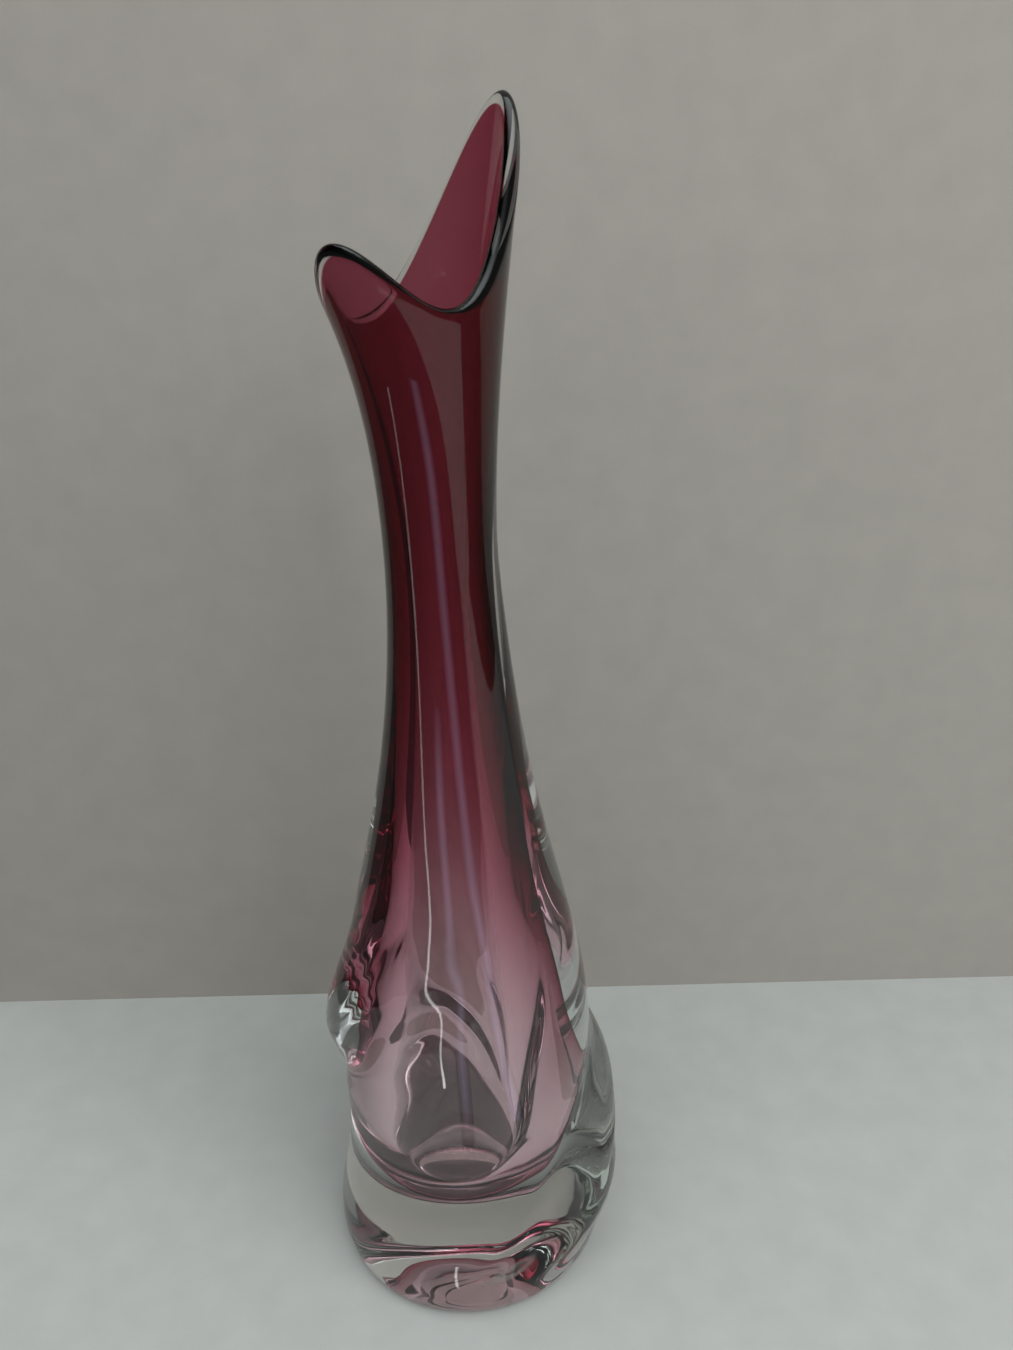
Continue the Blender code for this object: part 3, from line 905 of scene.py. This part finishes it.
glass_line = half_section("glass_section", glass_section())
casing = blow("clear_casing_glass", glass_line, clear_glass, ground_glass)
ruby_line = half_section("ruby_section", ruby_section())
lining = blow("ruby_lining_glass", ruby_line, ruby_glass, ruby_glass)

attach(casing, "root")
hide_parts("clear_casing")
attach(lining, "root")
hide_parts("ruby_lining")

# %% [markdown]
# ## The streaks of light
#
# The long bright streaks that run down the vase are lights mirrored in its outside. A photographer of glass
# makes them with strip lights that stand close to it, just out of the picture, and so does this scene. Far
# lights would be mirrored twice, because the flare below the neck is hollow like a shaving mirror.
#
# Each strip light is a ribbon that runs up beside the vase, about 3 cm off its outside and closer near the
# foot. Its turn round the vase is set at a few heights, so that its mirror image falls on a streak of the
# photograph, and a smooth curve joins them. The thin light is white. The wide and the faint one are lilac,
# like light from a north window.

# %% Places of the strip lights
# A place is a height in mm, a turn from the front towards the right in degrees, a width in mm, and the
# strength of the light there
THIN_LIGHT = (
    (62, -11, 2.6, 14.0),
    (77, -15, 2.4, 9.0),
    (116, -20, 2.6, 8.0),
    (136, -30, 2.8, 4.5),
    (164, -42, 3.4, 2.5),
    (193, -49, 4.0, 2.2),
    (232, -51, 3.1, 1.7),
)
WIDE_LIGHT = (
    (40, 33, 10.0, 1.6),
    (61, 28, 9.2, 2.1),
    (96, 22, 10.0, 2.2),
    (131, 14.5, 11.4, 1.8),
    (170, 6, 14.8, 1.3),
    (198, 1, 16.0, 1.3),
    (222, -3, 15.0, 1.3),
    (233, -10, 13.8, 1.0),
)
FAINT_LIGHT = (
    (33, 2, 7.5, 0.0),
    (64, 1, 8.4, 1.4),
    (83, -1, 9.0, 1.8),
    (120, -6, 9.3, 1.8),
    (150, -15, 11.6, 1.7),
    (169, -17, 13.2, 0.4),
)
GAP_HEIGHTS, GAPS = (33 * MM, 80 * MM), (20 * MM, 30.5 * MM)
STRIP_STEPS = 60


def around(turn, reach, height):
    """The place at a turn from the front towards the right, a reach from the axis and a height."""
    return Vector((math.sin(turn * DEGREE) * reach, -math.cos(turn * DEGREE) * reach, height))


def upright(places):
    """A route up beside the vase through places, each step with its middle, width and strength."""
    heights, turns, widths, strengths = np.array(places, dtype=float).T
    turn_at = smooth_curve(heights, turns)
    route = []
    for height in np.linspace(heights[0], heights[-1], STRIP_STEPS):
        level = height * MM
        reach = outer_radius(level) + np.interp(level, GAP_HEIGHTS, GAPS)
        width = np.interp(height, heights, widths) * MM
        strength = np.interp(height, heights, strengths)
        route.append((around(turn_at(height), reach, level), width, strength))
    return route


thin_route, wide_route, faint_route = upright(THIN_LIGHT), upright(WIDE_LIGHT), upright(FAINT_LIGHT)
print("the thin light starts at", [round(x / MM) for x in thin_route[0][0]], "mm")

# %% [markdown]
# A fourth light is short and lies flat just above the board, where it makes the small bright mark at the
# front of the foot. All four have a milky acrylic diffuser, which makes them bright along the middle and
# lets them fade to nothing at their sides, so the streaks have soft edges.

# %% Strip lights
SHORT_TURN, SHORT_LEVEL, SHORT_STRENGTH = -7.2, 1 * MM, 8.0
SHORT_NEAR, SHORT_FAR = 55.4 * MM, 66.5 * MM
short_route = [
    (around(SHORT_TURN, SHORT_NEAR, SHORT_LEVEL), 2.5 * MM, SHORT_STRENGTH),
    (around(SHORT_TURN, SHORT_FAR, SHORT_LEVEL), 3.0 * MM, SHORT_STRENGTH),
]


def strip_light(name, route, colour):
    """A glowing ribbon along a route, brightest along its middle. Its width runs round the vase."""
    corners, faces, strengths = [], [], []
    for middle, width, strength in route:
        half = Vector((-middle.y, middle.x, 0)).normalized() * width / 2
        corners += [middle - half, middle, middle + half]
        strengths += [0.0, strength, 0.0]
    for i in range(len(route) - 1):
        for first in (3 * i, 3 * i + 1):
            faces.append((first, first + 1, first + 4, first + 3))
    mesh = bpy.data.meshes.new(name)
    mesh.from_pydata(corners, [], faces)
    glow = mesh.attributes.new("glow", "FLOAT", "POINT")
    glow.data.foreach_set("value", strengths)
    material, tree = new_material(f"Milky acrylic diffuser, {name.replace('_', ' ')}")
    bright = add(tree, "ShaderNodeAttribute", attribute_name="glow").outputs["Fac"]
    shine = add(tree, "ShaderNodeEmission", linear(colour), bright)
    add(tree, "ShaderNodeOutputMaterial", shine.outputs[0])
    mesh.materials.append(material)
    made = bpy.data.objects.new(name, mesh)
    # The glass mirrors a strip light, and nothing else sees it
    made.visible_camera = made.visible_transmission = made.visible_diffuse = made.visible_shadow = False
    bpy.context.scene.collection.objects.link(made)
    print(name, "has", len(faces), "faces")


strip_light("thin_light", thin_route, "#FFFFFF")
strip_light("wide_light", wide_route, "#DDD8FF")
strip_light("faint_light", faint_route, "#DDD8FF")
strip_light("short_light", short_route, "#FFFFFF")

# %% [markdown]
# ## Finishing
#
# Light in thick glass turns corners many times before it leaves, so it is given enough bounces to do so.

# %% Bounces
GLASS_BOUNCES, MIRROR_BOUNCES = 32, 12

cycles = bpy.context.scene.cycles
cycles.max_bounces = cycles.transmission_bounces = cycles.transparent_max_bounces = GLASS_BOUNCES
cycles.glossy_bounces = MIRROR_BOUNCES
print("light turns up to", cycles.max_bounces, "corners")
